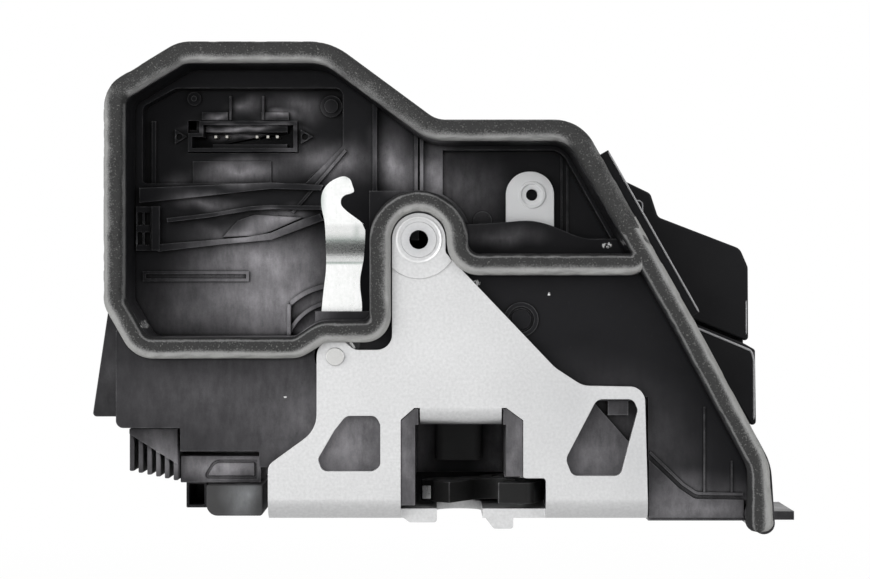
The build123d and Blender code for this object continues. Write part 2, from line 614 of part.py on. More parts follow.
def pawl_skin_part():
    skin = flat(pawl_face(), claw_bottom - claw_skin, claw_bottom + claw_thick + claw_skin)
    skin -= flat(offset(pawl_face(), -0.8), claw_bottom, claw_bottom + claw_thick)
    skin -= pin_z(pawl_pivot, rivet_radius + 1.0, 0, 20)
    return turn_z(skin, pawl_pivot, pawl_travel)


def backing_plate():
    """The flat steel plate over the claw that carries the rivets' far ends."""
    room = offset(mechanism_room(0), -loose)
    room -= bar(window_left - 1.0, window_right + 1.0, -40, liner_rear + 0.6)
    room -= bar(window_left - 1, 60, -40, -23)
    plate = flat(room, mechanism_top - backing_sheet, mechanism_top)
    for pivot in (claw_pivot, pawl_pivot):
        plate -= pin_z(pivot, rivet_radius + running, 0, 20)
    return plate


def latch_rivet(pivot):
    """A shouldered rivet, headed over the backing plate."""
    rivet = pin_z(pivot, rivet_radius, 0, mechanism_top + 0.2)
    return rivet + pin_z(pivot, rivet_radius + 1.2, mechanism_top, mechanism_top + 1.8)


def striker_bumper():
    face = outline([(-6.5, liner_rear - 7.5, 2.5), (6.5, liner_rear - 7.5, 2.5), (6.5, liner_rear - 2.6, 0),
                    (-6.5, liner_rear - 2.6, 0)])
    return flat(face, mechanism_top + 1, 24)


# ---- inside release lever ---------------------------------------------------------------------
lever_outline = [
    (-36.9, 56.0, 0.8), (-35.8, 66.0, 1), (-35.8, 79.6, 3), (-37.0, 83.5, 3), (-36.4, 88.0, 3), (-32.8, 91.2, 3),
    (-29.2, 91.0, 1), (-27.9, 87.5, 0.6), (-31.9, 85.4, 1.6), (-31.6, 83.2, 1.6), (-25.0, 78.7, 1),
    (-25.0, 77.0, 1), (-26.1, 66.0, 1), (-25.8, 55.4, 1), (-28.2, 43.0, 3), (-30.4, 38.4, 3), (-35.8, 38.4, 3),
    (-37.9, 43.0, 3),
]


def inside_release_lever():
    """A joggled steel lever: the flat foot at the rivet, the step towards the door and the cable hook."""
    middle_low, middle_high = lever_low + lever_sheet / 2, lever_high + lever_sheet / 2
    path = FilletPolyline((middle_low, 30), (middle_low, 68.3), (middle_high, 78.3), (middle_high, 96), radius=3.5)
    side = trace(path, line_width=lever_sheet)
    strip = Pos(-60, 0, 0) * extrude(Plane.YZ * side, amount=50)
    lever = strip & upright(outline(lever_outline), -40, 0)
    return lever - pin_y(lever_pivot, lever_rivet_radius + 0.06, -40, 0)


def lever_rivet():
    rivet = pin_y(lever_pivot, lever_rivet_radius, plate_front, lever_low + lever_sheet + 1.2)
    rivet += pin_y(lever_pivot, 2.4, plate_front - 0.8, plate_front)
    rivet += pin_y(lever_pivot, 3.4, plate_back, lever_low - 0.02)
    return rivet + pin_y(lever_pivot, 3.6, lever_low + lever_sheet + 0.02, lever_low + lever_sheet + 1.4)


def lever_spring():
    return spring(lever_pivot, 4.6, 0.8, 2.5, plate_back + 0.7)


# ---- lock mechanism ---------------------------------------------------------------------------
mesh_reach = 19.1
slot_share = 0.09
lock_span = math.dist(locking_pivot, knob_pivot)
mesh_point = tuple(a + (b - a) * mesh_reach / lock_span for a, b in zip(locking_pivot, knob_pivot))


def lock_knob_lever():
    """The white lever: hub, tab with the rod's eye, and the slotted arm to the locking lever."""
    tab = outline([(12.9, 70.0, 3), (12.9, 93.4, 6.4), (26.1, 93.4, 6.4), (26.1, 70.0, 3), (20.0, 50.0, 3), (12.0, 50.0, 3)])
    arm = trace(Line(knob_pivot, mesh_point), line_width=7) + disc(mesh_point, 4.6)
    face = tab + disc(knob_pivot, 5.2) + arm
    lever = upright(face, knob_front, knob_front + knob_sheet)
    eye = (20.0, 87.0)
    lever -= pin_y(eye, 1.6, knob_front - 1, 2)
    lever += upright(disc(eye, 3.7) - disc(eye, 2.9), knob_front - 0.5, knob_front)
    lever += pin_y(knob_pivot, 4.4, knob_front - 1, 4)
    lever -= pin_y(knob_pivot, axle_radius + running, -30, 30)
    return lever - upright(mesh_slot(), knob_front - 1, 2)


def mesh_slot():
    away = tuple(p + (p - k) * slot_share for p, k in zip(mesh_point, knob_pivot))
    near = tuple(p - (p - k) * slot_share for p, k in zip(mesh_point, knob_pivot))
    return trace(Line(near, away), line_width=3.6) + disc(near, 1.8) + disc(away, 1.8)


def knob_pin():
    """The white lever's axle, seated in the apron's round boss."""
    pin = pin_y(knob_pivot, axle_radius, apron_back, cover_inside)
    return pin + pin_y(knob_pivot, 2.8, apron_front - 0.6, apron_back)


def locking_lever():
    """Forked lever between the wheel's crank pin and the white lever."""
    fork_end = (wheel_centre[0] + crank_radius, wheel_centre[1])
    face = trace(Line(locking_pivot, (fork_end[0] - 5, fork_end[1])), line_width=9)
    face += disc(locking_pivot, 5.5) + trace(Line(locking_pivot, mesh_point), line_width=6) + disc(mesh_point, 3)
    slot_from, slot_to = fork_end[0] - 6, fork_end[0] + 2
    face -= bar(slot_from, slot_to, fork_end[1] - crank_pin - 0.4, fork_end[1] + crank_pin + 0.4)
    lever = upright(face, locking_front, locking_front + locking_sheet)
    lever += pin_y(mesh_point, 1.4, knob_front, locking_front)
    return lever - pin_y(locking_pivot, axle_radius + running, 0, 30)


def worm_wheel():
    """Thirty helical teeth on a flanged hub, with the crank pin on the front face."""
    pitch = wheel_teeth * gear_module / 2
    tooth = outline([(pitch - 2, -1.15, 0), (pitch - 2, 1.15, 0), (pitch + 0.85, 0.32, 0), (pitch + 0.85, -0.32, 0)])
    face = Circle(pitch - 1.25)
    for n in range(wheel_teeth):
        face += Rot(0, 0, 360 * n / wheel_teeth) * tooth
    lead = math.atan(gear_module / 2 / worm_radius)
    twist = math.degrees(wheel_width * math.tan(lead) / pitch)
    gear = Solid.extrude_linear_with_rotation(face.face(), (0, 0, 0), (0, 0, wheel_width), twist)
    gear = Rot(0, 0, -twist / 2) * gear
    gear = Pos(wheel_centre[0], wheel_front + wheel_width, wheel_centre[1]) * Rot(90, 0, 0) * gear
    crank = (wheel_centre[0] + crank_radius, wheel_centre[1])
    gear += pin_y(crank, crank_pin, locking_front - 1, wheel_front)
    gear += pin_y(wheel_centre, 4, wheel_front - 2, wheel_front)
    return gear - pin_y(wheel_centre, axle_radius + running, 0, 40)


def worm_shaft():
    """The motor's shaft with the single-start worm."""
    shaft = pin_x((worm_height, wheel_middle), shaft_radius, motor_left - 2, bush_left + bush_length - 0.5)
    pitch = math.pi * gear_module
    length = worm_turns * pitch
    left = wheel_centre[0] - length / 2
    root = worm_radius - 1.2
    shaft += pin_x((worm_height, wheel_middle), root, left - 1, left + length + 1)
    coil = Helix(pitch=pitch, height=length, radius=root - 0.1)
    profile = make_face(Polyline((root - 0.3, -0.85), (worm_radius + 0.8, -0.35), (worm_radius + 0.8, 0.35),
                                 (root - 0.3, 0.85), close=True))
    thread = sweep(Plane.XZ * profile, path=coil, is_frenet=True)
    thread = Pos(left, wheel_middle, worm_height) * Rot(0, 90, 0) * thread
    ends = pin_x((worm_height, wheel_middle), worm_radius + 2, left, left + length)
    return shaft + (thread & ends)


def motor_can():
    round_can = pin_x((worm_height, wheel_middle), motor_radius, motor_left, motor_left + motor_length)
    flats = Pos(motor_left + motor_length / 2, wheel_middle, worm_height) * Box(motor_length + 2, 19.6, 40)
    can = round_can & flats
    can += pin_x((worm_height, wheel_middle), 3, motor_left + motor_length, motor_left + motor_length + 1.6)
    return can - pin_x((worm_height, wheel_middle), shaft_radius + running, motor_left - 9, 0)


def motor_endcap():
    cap = pin_x((worm_height, wheel_middle), motor_radius - 0.6, motor_left - 3, motor_left)
    cap &= Pos(motor_left, wheel_middle, worm_height) * Box(10, 18.6, 40)
    return cap - pin_x((worm_height, wheel_middle), shaft_radius + running, motor_left - 2.2, motor_left + 1)


def end_bush():
    bush = pin_x((worm_height, wheel_middle), bush_radius, bush_left, bush_left + bush_length)
    return bush - pin_x((worm_height, wheel_middle), shaft_radius + running, bush_left - 1, 0)


def microswitches():
    """Two detector switches on the rear cover's inside, one for each end of the wheel's travel."""
    pair = []
    for x in (-62.0, -8.0):
        case = upright(bar(x, x + 12.5, 103.5, 109.5) if x < -50 else bar(x, x + 12.5, 66.0, 72.0), 29.5, cover_inside)
        pair.append(case)
    return Compound(children=pair)


def lead_frame():
    """Stamped conductors from the connector down to the motor, flat on the web's rear."""
    strips = []
    for n in range(3):
        x = -66.0 + 4.5 * n
        path = FilletPolyline((x, 87.6), (x, 70.0 + 4 * n), (x + 14, 58.0 + 4 * n), radius=2)
        strips.append(upright(trace(path, line_width=1.8), web_back, web_back + 0.8))
    return Compound(children=strips)


pin_columns = [-67.2, -64.1, -55.8, -52.8, -50.2]
pin_row = 103.2
pin_half = 0.35


def connector_shell():
    """The stepped socket frame with a ledge above and below its row of contacts."""
    left, right, low, high = socket
    outer = bar(left - socket_wall, right + socket_wall, low - socket_wall, high + socket_wall)
    outer -= bar(left - socket_wall - 1, left + 2.0, high - 2.2, high + socket_wall + 1)
    shell = upright(outer, socket_front, socket_rear)
    room = bar(left, right, low, high - 2.2 - socket_wall) + bar(left + 2.0 + socket_wall, right, low, high)
    shell -= upright(room, socket_front - 1, socket_rear - 3)
    shell += upright(bar(left + 3.4, right - 1.8, high - 1.8, high + 0.4), pocket_floor + 1, socket_rear)
    shell += upright(bar(left + 5.6, right - 1.8, low - 0.4, low + 1.1), pocket_floor - 1, socket_rear)
    for x in pin_columns:
        shell -= upright(bar(x - pin_half, x + pin_half, pin_row - pin_half, pin_row + pin_half),
                         socket_rear - 4, socket_rear + 1)
    return shell + upright(offset(outer, 1.2) - outer, axle_seat, axle_seat + 1.2)


def connector_pins():
    pins = [upright(bar(x - pin_half, x + pin_half, pin_row - pin_half, pin_row + pin_half), socket_front + 3,
                    socket_rear + 4) for x in pin_columns]
    return Compound(children=pins)


def cover_screws():
    screws = []
    for place in screw_posts:
        start = max(post_foot(place), web_back) + 3
        screw = pin_y(place, screw_radius, start, cover_rear) + pin_y(place, 3.2, cover_rear, cover_rear + 2)
        screws.append(screw - upright(Pos(*place) * RegularPolygon(1.5, 6), cover_rear + 0.8, cover_rear + 3))
    return Compound(children=screws)


# ---- outer side -------------------------------------------------------------------------------
def outside_release_lever():
    px, pz = outer_pivot
    face = outline([(px - 6, pz - 5, 3), (px - 4, pz + 6, 3), (px + 6, pz + 6, 3), (px + 6, pz - 6, 3),
                    (px + 2, pz - 24, 3), (px - 7, pz - 24, 3)])
    lever = upright(face, cover_rear + 0.4, cover_rear + 2.9)
    lever -= pin_y((px - 2.5, pz - 20), 2, cover_rear, cover_rear + 4)
    return lever - pin_y(outer_pivot, 2.5 + 0.06, cover_rear, cover_rear + 4)


def outer_pivot_screw():
    screw = pin_y(outer_pivot, 2.5, cover_inside + 0.2, cover_rear + 3.2)
    screw += pin_y(outer_pivot, 4.5, cover_rear + 3.0, cover_rear + 5)
    screw += pin_y(outer_pivot, 4.2, cover_rear, cover_rear + 0.38) + pin_y(outer_pivot, 4.5, cover_inside - 1.5, cover_inside)
    return screw + pin_y(outer_pivot, 2.5, cover_inside - 1.5, cover_inside + 1)


def key_cylinder_cam():
    """The turning socket that takes the lock cylinder's blade."""
    cam = pin_y(cam_centre, cam_neck, cover_inside - 2, cover_rear + 4)
    cam += pin_y(cam_centre, cam_neck + 2.5, cover_rear + 0.1, cover_rear + 2)
    cam += pin_y(cam_centre, cam_neck + 2, cover_inside - 3, cover_inside - 0.1)
    return cam - upright(bar(cam_centre[0] - 4, cam_centre[0] + 4, cam_centre[1] - 1.2, cam_centre[1] + 1.2),
                         cover_inside, cover_rear + 6)


upper_cover = [(55.3, 67.8, 1), (44.5, 90.0, 1), (46.2, 90.7, 1), (52.8, 87.5, 2), (54.9, 81.0, 2), (77.5, 72.3, 3),
               (79.7, 67.2, 3), (79.8, 46.5, 1), (62.6, 53.4, 1)]
lower_cover = [(62.6, 52.5, 1), (78.4, 46.1, 1), (81.2, 44.5, 1), (81.5, 21.2, 1)]

parts = {
    "latch_plate": latch_plate,
    "main_housing": main_housing,
    "latch_body": latch_body,
    "fishmouth_liner": fishmouth_liner,
    "rear_cover": rear_cover,
    "upper_side_cover": lambda: side_cover(upper_cover, -2, 30),
    "lower_side_cover": lambda: side_cover(lower_cover, -6, 28),
    "drip_hood": drip_hood,
    "finned_guard": finned_guard,
    "cable_bracket": cable_bracket,
    "cable_grommet": cable_grommet,
    "perimeter_seal": lambda: upright(seal_band(seal_width), plate_front - seal_height, plate_front),
    "connector_shell": connector_shell,
    "connector_pins": connector_pins,
    "lead_frame": lead_frame,
    "claw_core": claw_core,
    "claw_overmould": claw_skin_part,
    "claw_rivet": lambda: latch_rivet(claw_pivot),
    "pawl_core": pawl_core,
    "pawl_overmould": pawl_skin_part,
    "pawl_rivet": lambda: latch_rivet(pawl_pivot),
    "backing_plate": backing_plate,
    "striker_bumper": striker_bumper,
    "inside_release_lever": inside_release_lever,
    "lever_rivet": lever_rivet,
    "lever_spring": lever_spring,
    "lock_knob_lever": lock_knob_lever,
    "knob_lever_pin": knob_pin,
    "locking_lever": locking_lever,
    "locking_lever_pin": lambda: pin_y(locking_pivot, axle_radius, web_back, cover_inside),
    "worm_wheel": worm_wheel,
    "worm_wheel_axle": lambda: pin_y(wheel_centre, axle_radius, axle_seat, cover_inside),
    "worm_shaft": worm_shaft,
    "motor_can": motor_can,
    "motor_endcap": motor_endcap,
    "end_bush": end_bush,
    "microswitches": microswitches,
    "cover_screws": cover_screws,
    "outside_release_lever": outside_release_lever,
    "outer_pivot_screw": outer_pivot_screw,
    "key_cylinder_cam": key_cylinder_cam,
}

for name, make in parts.items():
    export_step(make(), f"parts/{name}.step")
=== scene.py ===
"""Looks of the door latch actuator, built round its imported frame. Metres; +Z up, the front faces -Y."""

import json
import math

import bmesh
import bpy
import numpy as np
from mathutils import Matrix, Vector


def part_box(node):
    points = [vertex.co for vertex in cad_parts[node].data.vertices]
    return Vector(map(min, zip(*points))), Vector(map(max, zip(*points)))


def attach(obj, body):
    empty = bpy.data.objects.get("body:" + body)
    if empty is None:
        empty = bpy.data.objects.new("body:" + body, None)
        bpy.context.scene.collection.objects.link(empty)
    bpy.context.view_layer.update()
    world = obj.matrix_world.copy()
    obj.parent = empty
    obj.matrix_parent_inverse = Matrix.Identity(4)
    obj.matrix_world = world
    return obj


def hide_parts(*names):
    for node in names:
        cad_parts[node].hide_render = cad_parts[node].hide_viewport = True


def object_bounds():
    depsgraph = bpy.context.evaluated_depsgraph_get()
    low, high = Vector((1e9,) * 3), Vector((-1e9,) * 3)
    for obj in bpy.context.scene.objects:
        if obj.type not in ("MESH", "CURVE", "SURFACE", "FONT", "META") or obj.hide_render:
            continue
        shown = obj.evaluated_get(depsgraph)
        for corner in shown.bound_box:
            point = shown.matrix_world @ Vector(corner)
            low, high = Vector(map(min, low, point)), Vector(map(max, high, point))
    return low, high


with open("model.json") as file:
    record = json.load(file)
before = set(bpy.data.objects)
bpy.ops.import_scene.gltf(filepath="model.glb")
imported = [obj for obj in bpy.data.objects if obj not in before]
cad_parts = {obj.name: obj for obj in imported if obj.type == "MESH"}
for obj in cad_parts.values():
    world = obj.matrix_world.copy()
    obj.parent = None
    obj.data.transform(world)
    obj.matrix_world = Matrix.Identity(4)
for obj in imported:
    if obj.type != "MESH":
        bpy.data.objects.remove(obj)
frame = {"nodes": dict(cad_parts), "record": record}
cad_low, cad_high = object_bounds()
MM = 0.001
rng = np.random.default_rng(7)


# ---- shader building ---------------------------------------------------------------------------
# How far the occlusion rays reach for the painted edge highlights and the painted corner shade, in metres.
EDGE_HIGHLIGHT_REACH, HOLLOW_REACH = 0.0005, 0.0014
OCCLUSION_RAYS = 6


def join(tree, value, socket):
    """Links a Value to the socket, or sets the socket's own value; a colour gets its alpha."""
    if isinstance(value, Value):
        tree.links.new(value.socket, socket)
    elif socket.type == "RGBA" and len(value) == 3:
        socket.default_value = (*value, 1)
    else:
        socket.default_value = value


class Value:
    """A shader socket that does arithmetic: each expression adds Math nodes."""

    def __init__(self, tree, socket):
        self.tree, self.socket = tree, socket

    def _math(self, operation, *others):
        node = self.tree.nodes.new("ShaderNodeMath")
        node.operation = operation
        for place, item in enumerate((self, *others)):
            join(self.tree, item, node.inputs[place])
        return Value(self.tree, node.outputs[0])

    def __add__(self, other):
        return self._math("ADD", other)

    __radd__ = __add__

    def __sub__(self, other):
        return self._math("SUBTRACT", other)

    def __rsub__(self, other):
        return (self * -1.0) + other

    def __mul__(self, other):
        return self._math("MULTIPLY", other)

    def size(self):
        return self._math("ABSOLUTE")

    def at_least(self, other):
        return self._math("MAXIMUM", other)

    def clamp(self):
        limited = self._math("ADD", 0.0)
        limited.socket.node.use_clamp = True
        return limited


class Graph:
    """A node tree with one way of adding nodes."""

    def __init__(self, tree):
        self.tree = tree

    def node(self, kind, settings=None, by_place=None, **sockets):
        """Adds a node: settings first, then its sockets from values or links, by name, or by place where
        names repeat. Returns its outputs by name."""
        node = self.tree.nodes.new(kind)
        for key, value in (settings or {}).items():
            setattr(node, key, value)
        for key, value in sockets.items():
            join(self.tree, value, node.inputs[key.replace("_", " ")])
        for place, value in (by_place or {}).items():
            join(self.tree, value, node.inputs[place])
        return {out.name: Value(self.tree, out) for out in node.outputs}


class Finish(Graph):
    """One material under construction, with its object coordinates at hand."""

    def __init__(self, name):
        self.material = bpy.data.materials.new(name)
        self.material.use_nodes = True
        super().__init__(self.material.node_tree)
        self.shader = self.tree.nodes["Principled BSDF"]
        self.place = self.node("ShaderNodeTexCoord")["Object"]
        self.strayed = self.place

    def noise(self, scale, detail=4.0, stretch=(1, 1, 1), roughness=0.55):
        """Noise between 0 and 1 whose grains are 1/scale metres apart, stretched along the axes."""
        place = self.node("ShaderNodeMapping", Vector=self.place, Scale=stretch)["Vector"]
        return self.node("ShaderNodeTexNoise", Vector=place, Scale=scale, Detail=detail,
                         Roughness=roughness)["Fac"]

    def attribute(self, name):
        """The piece's own attribute of this name, 0 where it has none."""
        return self.node("ShaderNodeAttribute", {"attribute_name": name})["Fac"]

    def ramp(self, value, low, high):
        """0 below low, 1 above high, straight between."""
        return self.node("ShaderNodeMapRange", Value=value, From_Min=low, From_Max=high)["Result"]

    def stray(self, scale, distance):
        """From here on, spots get ragged outlines: places wander by up to half this distance, in metres."""
        wander = self.node("ShaderNodeTexNoise", Vector=self.place, Scale=scale, Detail=2.0)["Color"]
        offset = self.node("ShaderNodeVectorMath", {"operation": "SUBTRACT"}, {0: wander, 1: (0.5, 0.5, 0.5)})
        scaled = self.node("ShaderNodeVectorMath", {"operation": "SCALE"}, Vector=offset["Vector"],
                           Scale=distance)
        moved = self.node("ShaderNodeVectorMath", {"operation": "ADD"}, {0: self.place, 1: scaled["Vector"]})
        self.strayed = moved["Vector"]

    def spot(self, x, z, reach_x, reach_z):
        """1 at (x, z), falling as a square to 0 over an ellipse of these half-widths; all in millimetres."""
        place = self.node("ShaderNodeMapping", Vector=self.strayed, Location=(-x / reach_x, 0, -z / reach_z),
                          Scale=(1 / (reach_x * MM), 0, 1 / (reach_z * MM)))["Vector"]
        return self.node("ShaderNodeTexGradient", {"gradient_type": "QUADRATIC_SPHERE"}, Vector=place)["Fac"]

    def spots(self, rows):
        """The sum of spots, each row being x, z, reach x, reach z and its share."""
        return sum(self.spot(*row[:4]) * row[4] for row in rows)

    def open_share(self, reach, **settings):
        """The share of rays of this length, in metres, that miss the piece itself."""
        settings.update(only_local=True, samples=OCCLUSION_RAYS)
        return self.node("ShaderNodeAmbientOcclusion", settings, Distance=reach)["AO"]

    def edge(self, reach):
        """Near 1 on outward edges of the piece itself, 0 on its faces; reach is in metres."""
        return self.ramp(1.0 - self.open_share(reach, inside=True), 0.25, 0.75)

    def hollow(self, reach):
        """Near 1 deep in the piece's own inward corners, 0 on its open faces; reach is in metres."""
        return self.ramp(1.0 - self.open_share(reach), 0.15, 0.75)

    def mix(self, factor, first, second):
        """The first colour where the factor is 0, the second where it is 1."""
        node = self.tree.nodes.new("ShaderNodeMix")
        node.data_type = "RGBA"
        for place, value in ((0, factor), (6, first), (7, second)):
            join(self.tree, value, node.inputs[place])
        return Value(self.tree, node.outputs[2])

    def set(self, **sockets):
        for key, value in sockets.items():
            join(self.tree, value, self.shader.inputs[key.replace("_", " ")])

    def bump(self, height, distance, strength=1.0):
        self.set(Normal=self.node("ShaderNodeBump", Height=height, Distance=distance,
                                  Strength=strength)["Normal"])


# ---- finishes ----------------------------------------------------------------------------------
# The first colour paints shade into corners, the last paints a highlight along rims.
CORNER_SHADE, CHIPPED, LIT_RIM = (0.001, 0.001, 0.001), (0.75, 0.75, 0.75), (0.46, 0.46, 0.47)
PRESSED_LINE = (0.95, 0.95, 0.95)
SPARK_GRAIN, SPARK_DEPTH, PLASTIC_SHINE = 2600.0, 0.00004, 0.08


def moulded_plastic(name, dark, light, rough, patch, bright=(), gleam=(0.50, 0.485, 0.51), painted_tone=0.16,
                    chipped=()):
    """Moulded black plastic: fine spark-eroded grain, cloudy gloss, a little dust, painted shade in its own
    inward corners and painted highlights on its outward edges. Where bright lists (x, z, reach x, reach z,
    share), it has a greyer painted sheen; where chipped does, it shows pale chips. The rim attribute marks
    beads painted with a highlight all along."""
    f = Finish(name)
    cloud = f.noise(38, 5, (1, 1, 1.6), 0.6)
    streak = f.noise(160, 3, (1, 0.25, 0.3))
    fine = f.noise(SPARK_GRAIN, 2)
    highlight_breakup = f.ramp(f.noise(300, 4), 0.40, 0.62)
    dust = f.ramp(f.noise(900, 2), 0.66, 0.78) * 0.22
    base = f.mix((cloud * 0.55 + dust).clamp(), dark, light)
    # Painted sheen: greyer patches where the lamps' reflection falls on the semi-gloss plastic.
    if bright:
        f.stray(60, 0.012)
        painted_sheen = f.spots(bright)
        sheen_streaks = f.ramp(f.noise(420, 4, (1, 0.3, 0.35), 0.7), 0.30, 0.68)
        sheen_mottle = f.noise(150, 6, (1, 1, 1), 0.7) * 0.7 + sheen_streaks * 0.3 + fine * 0.2
        base = f.mix((painted_sheen * sheen_mottle * 1.15).clamp(), base, gleam)
    # Painted shade deep in the piece's own inward corners.
    base = f.mix((f.hollow(HOLLOW_REACH) * 1.3).clamp(), base, CORNER_SHADE)
    # Painted highlight on the piece's outward edges, broken up by noise.
    base = f.mix((f.edge(EDGE_HIGHLIGHT_REACH) * (highlight_breakup * 0.7 + 0.3)).clamp(), base, (painted_tone, painted_tone, painted_tone * 1.03))
    if chipped:
        chips = f.spots(chipped) * f.ramp(f.noise(1500, 2), 0.47, 0.53)
        base = f.mix(f.ramp(chips, 0.15, 0.3), base, CHIPPED)
    # Painted highlight all along the rim beads.
    base = f.mix((f.attribute("rim") * (fine * 0.5 + 0.7)).clamp(), base, LIT_RIM)
    gloss = f.ramp(cloud, 0.42, 0.62)
    f.set(Base_Color=base, Specular_IOR_Level=PLASTIC_SHINE)
    f.set(Roughness=(gloss * -patch + rough + streak * 0.12 + fine * 0.06).clamp())
    f.bump(fine * 0.6 + f.noise(420, 3) * 0.4, SPARK_DEPTH, 0.6)
    return f.material


def zinc_sheet(name, dark, light, rough, grain_axis, streaky, shaded, shade, ring=None):
    """Zinc-plated sheet: crystalline speckle with a rolled grain along one axis, painted shade where shaded
    lists (x, z, reach x, reach z, share), and a pressed circle round the point given by ring (x, z, radius)."""
    f = Finish(name)
    grain = f.noise(2400, 3, {"x": (0.08, 1, 1), "z": (1, 1, 0.08)}[grain_axis])
    speck = f.ramp(f.noise(1300, 2), 0.32, 0.68)
    cloud = f.noise(45, 4)
    base = f.mix((grain * streaky + speck * 0.35 + cloud * 0.4).clamp(), dark, light)
    # Painted shade where the shaded spots fall.
    base = f.mix((f.spots(shaded) * (grain * 0.5 + 0.75)).clamp(), base, shade)
    height = grain * 0.5 + speck * 0.5
    if ring:
        x, z, radius = ring
        off_line = (f.spot(x, z, 2 * radius, 2 * radius) - 0.5).size()
        line = 1.0 - f.ramp(off_line, 0.0, 0.03)
        base = f.mix((line * 0.35).clamp(), base, PRESSED_LINE)
        height = height + line * 8.0
    f.set(Base_Color=base)
    f.set(Metallic=1.0, Roughness=(rough + grain * 0.10 + cloud * 0.10 - 0.08).clamp())
    f.bump(height, 0.000025, 0.5)
    return f.material


# Foam tones of painted shade, half shade and light, then the painted shade of the band; the pores and grain
# are the foam's own.
FOAM_DEEP_SHADE, FOAM_HALF_SHADE, FOAM_LIT = (0.022, 0.022, 0.023), (0.34, 0.34, 0.34), (0.50, 0.50, 0.485)
FOAM_BAND_SHADE, FOAM_PORE, FOAM_GRAIN = (0.014, 0.014, 0.014), (0.22, 0.22, 0.21), (0.05, 0.05, 0.05)
FOAM_BAND_AT = 0.36


def foam_skin(name):
    """Closed-cell foam, with painted light and shade from the bead's flank attribute: 0 on the flank painted
    in shade,
    1 on the flank painted lit. A band of painted shade with bright pores runs just on the shaded side of the
    crest."""
    f = Finish(name)
    flank = f.attribute("flank")
    fine = f.noise(3400, 3)
    cloud = f.noise(120, 4)
    speck = f.ramp(f.noise(2100, 2), 0.60, 0.70)
    place = flank + cloud * 0.14 + fine * 0.22 - 0.18
    band = 1.0 - f.ramp((place - FOAM_BAND_AT).size(), 0.12, 0.25)
    shaded_tone = f.mix(f.ramp(place, 0.02, 0.17), FOAM_DEEP_SHADE, FOAM_HALF_SHADE)
    lit_tone = f.mix(f.ramp(place, 0.40, 1.0), shaded_tone, FOAM_LIT)
    painted_tone = f.mix((speck * 0.8).clamp(), FOAM_BAND_SHADE, FOAM_PORE)
    base = f.mix((band * 0.92).clamp(), lit_tone, painted_tone)
    f.set(Base_Color=f.mix((fine * 0.5).clamp(), base, FOAM_GRAIN))
    f.set(Roughness=0.95, Specular_IOR_Level=0.12)
    f.bump(speck * 0.6 + fine * 0.6, 0.00022, 0.8)
    return f.material


def white_moulding(name, colour, shade, rough):
    """Natural or white plastic: faintly cloudy, a little translucent."""
    f = Finish(name)
    cloud = f.noise(60, 4)
    f.set(Base_Color=f.mix(cloud, shade, colour), Roughness=(rough + f.noise(700, 3) * 0.15).clamp())
    f.set(Subsurface_Weight=0.15, Subsurface_Radius=(0.004, 0.004, 0.004), Subsurface_Scale=0.4)
    f.bump(f.noise(1800, 2), 0.00002, 0.5)
    return f.material


def turned_steel(name, tone, rough):
    """Bare metal, mottled down to 0.72 of its tone."""
    f = Finish(name)
    speck = f.noise(2100, 3)
    cloud = f.noise(140, 4)
    f.set(Base_Color=f.mix((speck * 0.5 + cloud * 0.5).clamp(), tuple(c * 0.72 for c in tone), tone))
    f.set(Metallic=1.0, Roughness=(rough + speck * 0.14).clamp())
    f.bump(speck, 0.00002, 0.5)
    return f.material


# Painted sheen for the housing and the covers, and painted shade for the plate and the lever.
# Each row is x, z, reach x, reach z in millimetres, then the share.
housing_sheen = [
    (-54, 69.5, 28, 15, 0.95), (-57, 56, 28, 17, 0.7), (-45, 57, 16, 20, 0.65), (-76, 57, 18, 14, 0.2),
    (-49.8, 80.1, 13, 4, 0.9), (-59, 76.8, 14, 4, 0.6), (-71, 84.5, 15, 4, 0.5), (-31.5, 94.6, 15, 9, 0.55),
    (-17, 95.7, 8, 14, 0.95), (-6.9, 93.2, 10, 16, 0.7), (-61, 92.9, 19, 5.5, 0.95), (-40.8, 97, 13, 8, 0.55),
    (-44, 111.2, 13, 6.5, 0.5), (-58.6, 111.2, 8, 4, 0.5), (-65.9, 108.2, 6.5, 2, 1), (-50.4, 108, 7.5, 2, 1),
    (-43.5, 49.7, 8, 4, 0.7), (-1.7, 88.3, 21, 16, 0.42), (10.9, 75.4, 17, 5, 0.3),
    (-59.7, 105.2, 22, 1.6, 1), (-79.6, 91, 6, 5, 0.3), (-29.4, 19.4, 40, 34, 0.5), (36.5, 16, 36, 30, 0.32),
    (-66.9, 32, 90, 44, 0.16), (64.4, 2, 44, 11, 0.5),
]
cover_sheen = [
    (-14.6, 17.2, 12, 60, 0.4), (14.6, 17.2, 12, 60, 0.4), (-62.3, 14.3, 28, 10, 0.9),
    (-80.8, 17.2, 16, 16, 0.35), (-94.1, 39.8, 12, 36, 0.14),
]
housing_chips = [
    (-85, 51.6, 3, 2, 1), (3.9, 63.3, 2.4, 2.4, 1), (41.3, 73.1, 2, 2, 1), (22.8, 60.7, 0.6, 1.4, 1),
    (-47.5, 31.7, 0.6, 0.6, 1),
]
plate_shades = [
    (30, 30, 36, 48, 0.35), (48, 14, 18, 40, 0.3), (-30.6, 43, 2.4, 3.4, 0.9), (-10.9, 74.2, 11, 11, 0.7),
    (-10.9, 74.2, 7, 7, 1),
]
lever_shades = [
    (-32, 74, 30, 2.9, 0.8), (-32, 70.8, 30, 5, 0.2), (-32, 68.1, 30, 0.8, 1), (-36.9, 84.5, 2.4, 12, 0.8),
    (-29.6, 90.8, 3.4, 2.2, 0.5), (-27.4, 76.5, 2, 5, 0.5),
]

